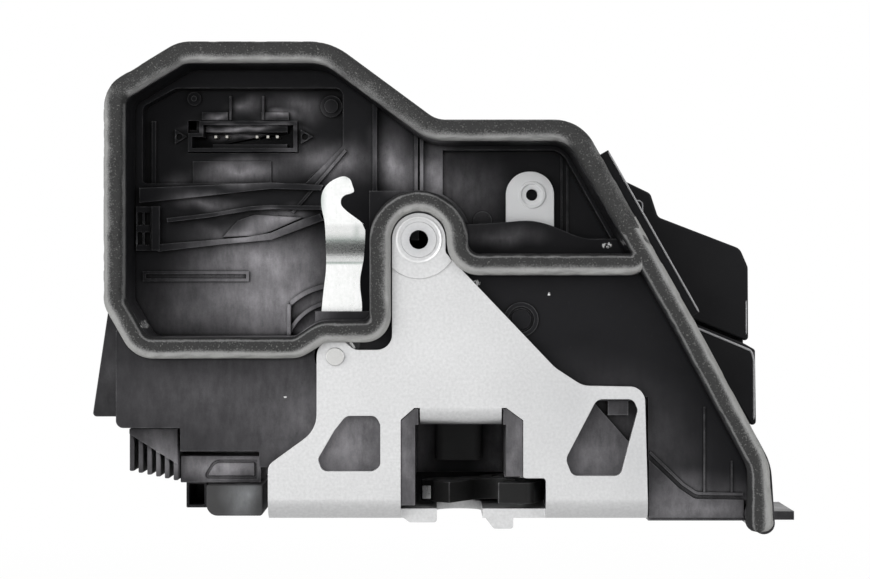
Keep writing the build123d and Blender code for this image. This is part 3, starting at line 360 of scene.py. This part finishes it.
# One finish for each material slot of the record.
materials = {
    # The plastics' bright spots and edge tones are painted highlights.
    "black_housing": moulded_plastic("black_housing", (0.006, 0.006, 0.007), (0.022, 0.022, 0.024), 0.36,
                                     0.14, bright=housing_sheen, chipped=housing_chips),
    "black_cover": moulded_plastic("black_cover", (0.008, 0.008, 0.009), (0.018, 0.018, 0.019), 0.46, 0.08,
                                   bright=cover_sheen, painted_tone=0.34),
    "claw_plastic": moulded_plastic("claw_plastic", (0.008, 0.008, 0.008), (0.03, 0.03, 0.03), 0.36, 0.1),
    "zinc_steel": zinc_sheet("zinc_steel", (0.46, 0.462, 0.465), (0.66, 0.662, 0.665), 0.46, "x", 0.25,
                             plate_shades, shade=(0.40, 0.405, 0.415), ring=(-10.9, 74.2, 10.2)),
    "lever_steel": zinc_sheet("lever_steel", (0.76, 0.78, 0.76), (0.94, 0.94, 0.94), 0.26, "z", 0.4,
                              lever_shades, shade=(0.36, 0.42, 0.39)),
    "foam": foam_skin("foam"),
    "grey_grommet": moulded_plastic("grey_grommet", (0.04, 0.04, 0.041), (0.10, 0.10, 0.10), 0.45, 0.05,
                                    bright=[(-58, 5, 6, 12, 0.9)], gleam=(0.3, 0.31, 0.32)),
    "white_plastic": white_moulding("white_plastic", (0.92, 0.925, 0.93), (0.80, 0.81, 0.82), 0.38),
    "gear_plastic": white_moulding("gear_plastic", (0.70, 0.66, 0.55), (0.6, 0.56, 0.46), 0.42),
    "rivet_steel": turned_steel("rivet_steel", (0.62, 0.62, 0.61), 0.3),
    "spring_steel": turned_steel("spring_steel", (0.36, 0.36, 0.37), 0.32),
    "motor_steel": turned_steel("motor_steel", (0.58, 0.58, 0.58), 0.3),
    "contact_tin": turned_steel("contact_tin", (0.50, 0.49, 0.45), 0.4),
    "brass_lead": turned_steel("brass_lead", (0.78, 0.60, 0.30), 0.32),
}
slot_of = {part["node"]: part["material_slot"] for part in frame["record"]["subparts"]}
body_of = {node: body for body, nodes in frame["record"]["behaviour"]["bodies"].items() for node in nodes}


def dress(piece, slot):
    """Gives a piece the slot's finish as its only material."""
    piece.data.materials.clear()
    piece.data.materials.append(materials[slot])


def add_piece(name, mesh, body, slot, replaced=None):
    """Puts a mesh in the scene with its finish, riding on the body, in place of the node it replaces."""
    piece = bpy.data.objects.new(name, mesh)
    bpy.context.scene.collection.objects.link(piece)
    dress(piece, slot)
    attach(piece, body)
    if replaced:
        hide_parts(replaced)
    return piece


def bevel_edges(piece, width, segments, angle):
    """Rounds every edge sharper than the angle in degrees by width metres, and keeps its faces flat."""
    bevel = piece.modifiers.new("edges", "BEVEL")
    bevel.width, bevel.segments = width, segments
    bevel.limit_method, bevel.angle_limit = "ANGLE", math.radians(angle)
    bevel.use_clamp_overlap = True
    flats = piece.modifiers.new("flats", "WEIGHTED_NORMAL")
    flats.weight = 100
    return bevel, flats


for name, node in frame["nodes"].items():
    dress(node, slot_of[name])


# ---- pieces made from the frame ----------------------------------------------------------------
MERGE_WITHIN, FLAT_WITHIN = 0.000004, math.radians(1.0)


def softened(node, width):
    """A copy of a CAD node with its triangles merged and its sharp edges rounded by width metres."""
    mesh = frame["nodes"][node].data.copy()
    work = bmesh.new()
    work.from_mesh(mesh)
    bmesh.ops.remove_doubles(work, verts=work.verts, dist=MERGE_WITHIN)
    bmesh.ops.dissolve_limit(work, angle_limit=FLAT_WITHIN, verts=work.verts, edges=work.edges)
    work.to_mesh(mesh)
    work.free()
    mesh.polygons.foreach_set("use_smooth", np.ones(len(mesh.polygons), bool))
    piece = add_piece(f"{node}_finished", mesh, body_of[node], slot_of[node], replaced=node)
    bevel, flats = bevel_edges(piece, width, 2, 35)
    bevel.harden_normals = True
    bevel.miter_outer = "MITER_ARC"
    flats.keep_sharp = True


# How far each node's edges are rounded, in millimetres.
rounding = {
    "latch_plate": 0.25, "main_housing": 0.35, "latch_body": 0.4, "fishmouth_liner": 0.4, "rear_cover": 0.3,
    "upper_side_cover": 0.3, "lower_side_cover": 0.3, "drip_hood": 0.4, "finned_guard": 0.3,
    "cable_bracket": 0.4, "cable_grommet": 0.5, "lock_knob_lever": 0.35, "claw_overmould": 0.3,
    "connector_shell": 0.25, "outside_release_lever": 0.25, "lever_rivet": 0.3, "knob_lever_pin": 0.3,
    "striker_bumper": 0.6, "claw_core": 0.3,
}
for node, width in rounding.items():
    softened(node, width * MM)


# ---- the foam gasket ---------------------------------------------------------------------------
# Corners of the gasket's middle line: x, z and the radius there, in millimetres.
seal_loop = [
    (-91.4, 113.0, 6), (-73.5, 123.8, 8), (-35.2, 123.8, 14), (-7.2, 103.15, 10), (30.2, 103.15, 9),
    (50.3, 67.6, 3.2), (-0.7, 67.6, 6), (-0.7, 84.4, 10.1), (-21.1, 84.4, 10.1), (-21.1, 49.8, 4.2),
    (-36.5, 49.8, 6), (-43.0, 45.6, 6), (-84.5, 45.5, 6), (-91.4, 57.5, 6),
]
# The foam's leg starts on the loop and runs down the housing's side.
seal_leg = [(43.9, 78.9, 0), (50.3, 67.6, 20), (58.6, 53.0, 40), (78.9, 15.0, 12), (79.4, -3.4, 0)]


def rounded_path(corners, closed, step=0.6, arc_points=14):
    """Points along straight runs joined by tangent arcs, evenly spaced by about step millimetres."""
    points = []
    count = len(corners)
    for i, (x, z, radius) in enumerate(corners):
        here = np.array([x, z])
        if not closed and i in (0, count - 1):
            points.append(here[None])
            continue
        before = np.array(corners[i - 1][:2]) - here
        after = np.array(corners[(i + 1) % count][:2]) - here
        before, after = before / np.linalg.norm(before), after / np.linalg.norm(after)
        half = math.acos(np.clip(before @ after, -1, 1)) / 2
        middle = (before + after) / np.linalg.norm(before + after)
        centre = here + middle * radius / math.sin(half)
        start = here + before * radius / math.tan(half) - centre
        end = here + after * radius / math.tan(half) - centre
        a0, a1 = math.atan2(start[1], start[0]), math.atan2(end[1], end[0])
        turn = (a1 - a0 + math.pi) % (2 * math.pi) - math.pi
        angles = a0 + turn * np.linspace(0, 1, arc_points)
        points.append(centre + radius * np.stack([np.cos(angles), np.sin(angles)], 1))
    line = np.concatenate(points)
    if closed:
        line = np.concatenate([line, line[:1]])
    run = np.concatenate([[0], np.cumsum(np.linalg.norm(np.diff(line, axis=0), axis=1))])
    keep = np.concatenate([[True], np.diff(run) > 1e-6])
    even = np.linspace(0, run[-1], int(run[-1] / step) + 1)
    return np.stack([np.interp(even, run[keep], line[keep, k]) for k in (0, 1)], 1)


def grid_piece(name, points, wrap_u, wrap_v, body, slot):
    """A mesh from an array of points on a (u, v) grid, closed along u or v where asked."""
    nu, nv = points.shape[:2]
    index = np.arange(nu * nv).reshape(nu, nv)
    if wrap_u:
        index = np.concatenate([index, index[:1]])
    if wrap_v:
        index = np.concatenate([index, index[:, :1]], axis=1)
    a, b, c, d = index[:-1, :-1], index[1:, :-1], index[1:, 1:], index[:-1, 1:]
    faces = np.stack([a, b, c, d], -1).reshape(-1, 4)
    mesh = bpy.data.meshes.new(name)
    mesh.from_pydata((points * MM).reshape(-1, 3).tolist(), [], faces.tolist())
    mesh.polygons.foreach_set("use_smooth", np.ones(len(mesh.polygons), bool))
    along, across = np.meshgrid(np.arange(index.shape[0]) / nu, np.arange(index.shape[1]) / nv, indexing="ij")
    corners = [np.stack([g[:-1, :-1], g[1:, :-1], g[1:, 1:], g[:-1, 1:]], -1).reshape(-1)
               for g in (along, across)]
    mesh.uv_layers.new(name="surface").data.foreach_set("uv", np.stack(corners, -1).reshape(-1))
    return add_piece(name, mesh, body, slot)


def sideways(line, closed=False):
    """The unit vector to the right of the line's direction at each of its points."""
    tangent = np.gradient(line, axis=0)
    if closed:
        tangent[0] = tangent[-1] = line[1] - line[-2]
    tangent /= np.linalg.norm(tangent, axis=1)[:, None]
    return np.stack([tangent[:, 1], -tangent[:, 0]], 1)


def mark(piece, name, values):
    """Gives each point of the piece a value that its finish reads by this name."""
    piece.data.attributes.new(name, "FLOAT", "POINT").data.foreach_set("value", values.reshape(-1))


def foam_bead(name, line, closed, height, width, outward, foot=0.0):
    """A bead of foam: a flattened half-round profile carried along the line, with cut-foam waviness.
    Profile: across = w/2 sign(cos t) |cos t|^p, up = h (sin t)^p for t from 0 to pi; the base is closed.
    An open bead widens by the foot's share towards its end, and ends round.
    The flank attribute, from which the foam paints its light and shade, is about half on the crest, and rises
    where the side faces down or away from the loop, the latter most where the line stands upright, by
    outward."""
    around, power, foot_length, tip_length, waviness = 22, 0.55, 16, 3.6, 0.05
    t = np.linspace(0, np.pi, around)
    across = width / 2 * np.sign(np.cos(t)) * np.abs(np.cos(t)) ** power
    up = height * np.sin(t) ** power
    steps = len(line) - 1 if closed else len(line)
    line, side = line[:steps], sideways(line, closed)[:steps]
    spread, rise = np.ones(steps), np.ones(steps)
    if not closed:
        left = np.linalg.norm(line - line[-1], axis=1)
        spread += foot * (1 - np.clip(left / foot_length, 0, 1)) ** 1.5
        tip = np.sqrt(np.clip(1 - (1 - left / tip_length).clip(0, 1) ** 2, 0.0004, 1))
        spread, rise = spread * tip, rise * tip ** 0.6
    wave = rng.normal(0, 1, (steps, around))
    for _ in range(3):
        wave = (np.roll(wave, 1, 0) + wave + np.roll(wave, -1, 0)) / 3
        wave = (np.roll(wave, 1, 1) + wave + np.roll(wave, -1, 1)) / 3
    wave[:, [0, -1]] = 0
    scale = 1 + waviness * wave / wave.std()
    reach = across[None] * scale.clip(0.9, 1.0) * spread[:, None]
    x = line[:, None, 0] + side[:, None, 0] * reach
    z = line[:, None, 1] + side[:, None, 1] * reach
    y = seal_base - up[None] * scale.clip(0.88, 1.0) * rise[:, None]
    piece = grid_piece(name, np.stack([x, y, z], -1), closed, True, "carrier", "foam")
    upright, inwards = np.abs(side[:, :1]), np.cos(t)[None]
    # The flank mark is painted light: sides facing down or away from the loop come out lighter.
    facing_down = -side[:, 1:] * inwards
    flank = 0.47 + 0.45 * (facing_down - outward * upright * inwards) - 0.15 * inwards
    mark(piece, "flank", flank.clip(0, 1))
    return piece


seal_low, seal_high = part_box("perimeter_seal")
seal_base = seal_high.y / MM
seal_rise = (seal_high.y - seal_low.y) / MM
loop_bead = foam_bead("seal_loop", rounded_path(seal_loop, True), True, seal_rise * 0.98, 5.6, 0.4)
leg_bead = foam_bead("seal_leg", rounded_path(seal_leg, False), False, seal_rise, 5.8, 1.5, 0.4)
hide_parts("perimeter_seal")


# ---- small blocks --------------------------------------------------------------------------------
def block(name, first, second, body, slot):
    """A box from four corners of one end and the four that face them, in millimetres."""
    mesh = bpy.data.meshes.new(name)
    faces = [(3, 2, 1, 0), (4, 5, 6, 7)] + [(k, (k + 1) % 4, (k + 1) % 4 + 4, k + 4) for k in range(4)]
    mesh.from_pydata((np.array([*first, *second]) * MM).tolist(), [], faces)
    work = bmesh.new()
    work.from_mesh(mesh)
    bmesh.ops.recalc_face_normals(work, faces=work.faces)
    work.to_mesh(mesh)
    work.free()
    return add_piece(name, mesh, body, slot)


# The strip that closes the seam between the side covers, behind their faces.
seam_front, seam_back, half_seam = 4, 24, 0.75
seam_ring = [(seam_front, -half_seam), (seam_back, -half_seam), (seam_back, half_seam),
             (seam_front, half_seam)]
block("cover_seam", *([(x, y, z + up) for y, up in seam_ring] for x, z in ((63.4, 52.6), (79.0, 46.4))),
      "carrier", "black_cover")


# ---- rims of the lip and the side covers, painted as highlights ----------------------------------
housing_lip_front, lower_cover_front, upper_cover_front = -24.0, -6.0, -2.0


def rim_bead(name, corners, front, width, slot):
    """A half-round bead along the corners' path on the face at y = front, in millimetres.
    Profile: across = w/2 cos t, up = 0.6 w sin t for t from 0 to pi; both ends run out to a point."""
    line = rounded_path(corners, False, 0.8)
    side = sideways(line)
    t = np.linspace(0, np.pi, 9)
    taper = np.ones((len(line), 1))
    taper[[0, -1]] = 0.02
    across, up = width / 2 * np.cos(t) * taper, 0.6 * width * np.sin(t) * taper
    sunk = front + 0.05
    x, z = (line[:, k:k + 1] + side[:, k:k + 1] * across for k in (0, 1))
    piece = grid_piece(name, np.stack([x, sunk - up, z], -1), False, True, "carrier", slot)
    # The rim mark paints the whole bead as a highlight.
    mark(piece, "rim", np.ones(len(piece.data.vertices)))


rim_bead("lip_rim", [(39.6, 98.0, 0), (64.0, 54.9, 0)], housing_lip_front, 0.55, "black_housing")
rim_bead("lower_cover_rim", [(64.9, 50.55, 0), (80.2, 44.2, 1.6), (80.8, 41.5, 3), (80.8, 25.2, 0)],
         lower_cover_front, 0.6, "black_cover")
rim_bead("upper_cover_rim", [(46.6, 85.6, 0), (50.6, 85.5, 1.2), (50.6, 79.4, 0)], upper_cover_front, 0.4,
         "black_cover")
rim_bead("upper_cover_edge", [(79.2, 58.2, 0), (79.2, 48.4, 0)], upper_cover_front, 0.4, "black_cover")


# ---- the hooked release lever --------------------------------------------------------------------
lever_rivet_at, lever_hole = (-33.1, 43.2), 2.56
lever_front_low, lever_front_high, lever_sheet = -23.5, -29.6, 2.5
lever_step_from, lever_step_to, lever_rounding = 68.3, 78.3, 0.7
# The heights at which the sheet is cut across, so that it can bend at the step.
lever_cuts = np.arange(66.0, 81.0, 0.5)
# The lever's outline before it is smoothed: x and z in millimetres.
lever_points = np.array([
    (-33.1, 38.5), (-36.1, 39.6), (-37.6, 42.0), (-37.7, 44.8), (-37.4, 48.5), (-37.1, 53.0), (-36.7, 58.0),
    (-36.2, 62.5), (-35.8, 65.8), (-35.7, 68.5), (-35.7, 72.0), (-35.7, 75.5), (-35.8, 78.2), (-36.2, 80.5),
    (-36.7, 82.8), (-36.8, 85.2), (-36.2, 87.4), (-34.8, 89.2), (-32.9, 90.4), (-30.8, 91.0), (-29.2, 90.3),
    (-28.5, 88.6), (-28.1, 87.1), (-28.9, 86.5), (-30.5, 86.0), (-31.5, 84.9), (-31.4, 83.3), (-30.0, 81.8),
    (-27.9, 80.2), (-26.2, 78.9), (-25.2, 77.4), (-25.2, 75.2), (-25.4, 72.5), (-25.7, 69.6), (-26.1, 67.0),
    (-26.6, 64.2), (-26.6, 61.2), (-26.2, 57.8), (-26.2, 55.0), (-26.9, 50.5), (-27.8, 46.0), (-28.8, 42.0),
    (-30.5, 39.4),
])


def smooth_loop(points, each=5):
    """A closed Catmull-Rom curve: between b and c, with neighbours a and d,
    (2b + (c - a) t + (2a - 5b + 4c - d) t^2 + (3b - a - 3c + d) t^3) / 2 for t from 0 to 1."""
    a, b, c, d = (np.roll(points, shift, 0) for shift in (1, 0, -1, -2))
    t = np.arange(each)[:, None, None] / each
    curve = 2 * b + (c - a) * t + (2 * a - 5 * b + 4 * c - d) * t ** 2 + (3 * b - a - 3 * c + d) * t ** 3
    return curve.transpose(1, 0, 2).reshape(-1, 2) / 2


def filled(loops):
    """A flat mesh in the plane z = 0, filled between closed loops of points in millimetres."""
    face = bpy.data.curves.new("lever_face", "CURVE")
    face.dimensions, face.fill_mode = "2D", "BOTH"
    for loop in loops:
        spline = face.splines.new("POLY")
        spline.points.add(len(loop) - 1)
        spline.points.foreach_set("co", np.pad(loop * MM, ((0, 0), (0, 2))).reshape(-1))
        spline.use_cyclic_u = True
    flat = bpy.data.objects.new("lever_face", face)
    bpy.context.scene.collection.objects.link(flat)
    mesh = bpy.data.meshes.new_from_object(flat.evaluated_get(bpy.context.evaluated_depsgraph_get()))
    bpy.data.objects.remove(flat)
    return mesh


def hooked_lever():
    """A flat sheet cut to the smoothed outline, bored at the rivet and stepped towards the front. The middle
    of the sheet is y = low + (high - low) e, where e = s - sin(2 pi s) / 20 and s rises from 0 to 1 up the
    step."""
    angle = np.linspace(0, 2 * np.pi, 32, endpoint=False)
    bore = np.stack([np.cos(angle), np.sin(angle)], 1) * lever_hole + lever_rivet_at
    mesh = filled((smooth_loop(lever_points), bore))
    work = bmesh.new()
    work.from_mesh(mesh)
    bmesh.ops.remove_doubles(work, verts=work.verts, dist=MERGE_WITHIN / 2)
    for level in lever_cuts:
        bmesh.ops.bisect_plane(work, geom=work.verts[:] + work.edges[:] + work.faces[:], dist=1e-7,
                               plane_co=(0, level * MM, 0), plane_no=(0, 1, 0))
    work.to_mesh(mesh)
    work.free()
    place = np.empty(len(mesh.vertices) * 3)
    mesh.vertices.foreach_get("co", place)
    x, z, _ = place.reshape(-1, 3).T
    share = np.clip((z / MM - lever_step_from) / (lever_step_to - lever_step_from), 0, 1)
    eased = share - np.sin(2 * np.pi * share) / 20
    y = (lever_front_low + (lever_front_high - lever_front_low) * eased + lever_sheet / 2) * MM
    mesh.vertices.foreach_set("co", np.stack([x, y, z], 1).reshape(-1))
    mesh.polygons.foreach_set("use_smooth", np.ones(len(mesh.polygons), bool))
    piece = add_piece("hooked_lever", mesh, "inside_lever", "lever_steel", replaced="inside_release_lever")
    wall = piece.modifiers.new("sheet", "SOLIDIFY")
    wall.thickness, wall.offset, wall.use_even_offset = lever_sheet * MM, 0.0, True
    bevel_edges(piece, lever_rounding * MM, 3, 40)


hooked_lever()


# ---- the claw's bare tooth -----------------------------------------------------------------------
# The tooth of the claw's core, which the plastic leaves bare: the same four corners in plan at two heights.
tooth_plan = [(-10.1, -13.1), (-10.1, -14.6), (-7.75, -15.25), (-7.75, -14.9)]
tooth = block("claw_tooth", *([(x, y, z) for x, y in tooth_plan] for z in (4.3, 7.9)), "claw", "lever_steel")
tooth_edges = tooth.modifiers.new("edges", "BEVEL")
tooth_edges.width, tooth_edges.segments = 0.15 * MM, 2


# ---- studio ------------------------------------------------------------------------------------
SURROUND_LIGHT, SURROUND_SHOWN = 0.22, 1.0
FLOOR_DROP, FLOOR_HALF, FLOOR_COLOUR = 0.06, 3.0, (0.86, 0.86, 0.86, 1)
FLOOR_GLOW_LOSS, FLOOR_GLOW_SPREAD = 0.09, 1.6


def white_surround():
    """A world that lights softly and shows pure white to the camera, to mirrors and through glass."""
    world = bpy.data.worlds.new("surround")
    bpy.context.scene.world = world
    world.use_nodes = True
    graph = Graph(world.node_tree)
    graph.tree.nodes.clear()
    path = graph.node("ShaderNodeLightPath")
    shown = path["Is Camera Ray"].at_least(path["Is Transmission Ray"]).at_least(path["Is Glossy Ray"])
    dim, bright = (graph.node("ShaderNodeBackground", Color=(1, 1, 1, 1), Strength=strength)["Background"]
                   for strength in (SURROUND_LIGHT, SURROUND_SHOWN))
    mixed = graph.node("ShaderNodeMixShader", None, {0: shown, 1: dim, 2: bright})["Shader"]
    graph.node("ShaderNodeOutputWorld", Surface=mixed)


def pale_floor(height):
    """A floor that glows white to the camera and to mirrors, a little less round the object, where its own
    shading, and so the object's shadow, shows through by that share."""
    mesh = bpy.data.meshes.new("floor")
    corners = [(x * FLOOR_HALF, y * FLOOR_HALF, height) for x, y in ((-1, -1), (1, -1), (1, 1), (-1, 1))]
    mesh.from_pydata(corners, [], [(0, 1, 2, 3)])
    floor = bpy.data.objects.new("floor", mesh)
    bpy.context.scene.collection.objects.link(floor)
    f = Finish("pale_floor")
    f.set(Base_Color=FLOOR_COLOUR, Roughness=0.9)
    centred = f.node("ShaderNodeMapping", Vector=f.place, Scale=(FLOOR_GLOW_SPREAD, FLOOR_GLOW_SPREAD, 0))
    near = f.node("ShaderNodeTexGradient", {"gradient_type": "SPHERICAL"}, Vector=centred["Vector"])["Fac"]
    path = f.node("ShaderNodeLightPath")
    share = path["Is Camera Ray"].at_least(path["Is Glossy Ray"]) * (near * -FLOOR_GLOW_LOSS + 1.0)
    glow = f.node("ShaderNodeEmission")["Emission"]
    own = Value(f.tree, f.shader.outputs[0])
    mixed = f.node("ShaderNodeMixShader", None, {0: share, 1: own, 2: glow})["Shader"]
    join(f.tree, mixed, f.tree.nodes["Material Output"].inputs["Surface"])
    mesh.materials.append(f.material)


def lamp(name, place, aim, size, power, mirrored=True):
    """A soft rectangular lamp at place, aimed at aim; metres and watts."""
    data = bpy.data.lights.new(name, "AREA")
    data.shape = "RECTANGLE"
    data.size, data.size_y = size
    data.energy = power
    light = bpy.data.objects.new(name, data)
    light.location = place
    light.visible_glossy = mirrored
    light.rotation_euler = (Vector(aim) - Vector(place)).to_track_quat("-Z", "Y").to_euler()
    bpy.context.scene.collection.objects.link(light)


white_surround()
pale_floor(cad_low.z - FLOOR_DROP)
lamp("key", (-0.85, -1.0, 0.35), (0, 0, 0.05), (1.0, 0.9), 12.0)
lamp("fill", (0.95, -0.95, 0.2), (0, 0, 0.05), (0.8, 0.8), 6.0)
lamp("low", (0.0, -0.9, -0.03), (0, 0, 0.03), (1.2, 0.05), 0.9, mirrored=False)
lamp("top", (0.0, -0.1, 1.2), (0, 0, 0.06), (1.0, 0.6), 2.2)
lamp("rear", (0.3, 0.9, 0.7), (0, 0, 0.06), (1.0, 0.6), 4.0)

# The camera stands 0.7 m before the plate's front, where the frame is 0.2306 m wide.
CAMERA_DISTANCE, FRAME_WIDTH, SENSOR_WIDTH = 0.700, 0.2306, 36.0
camera = bpy.data.objects.new("camera", bpy.data.cameras.new("camera"))
camera.location = (-0.0066, -0.730, 0.061)
camera.rotation_euler = (math.pi / 2, 0, 0)
camera.data.sensor_width = SENSOR_WIDTH
camera.data.lens = SENSOR_WIDTH * CAMERA_DISTANCE / FRAME_WIDTH
camera.data.clip_start = 0.01
bpy.context.scene.collection.objects.link(camera)
bpy.context.scene.camera = camera
bpy.context.scene.view_settings.view_transform = "Standard"
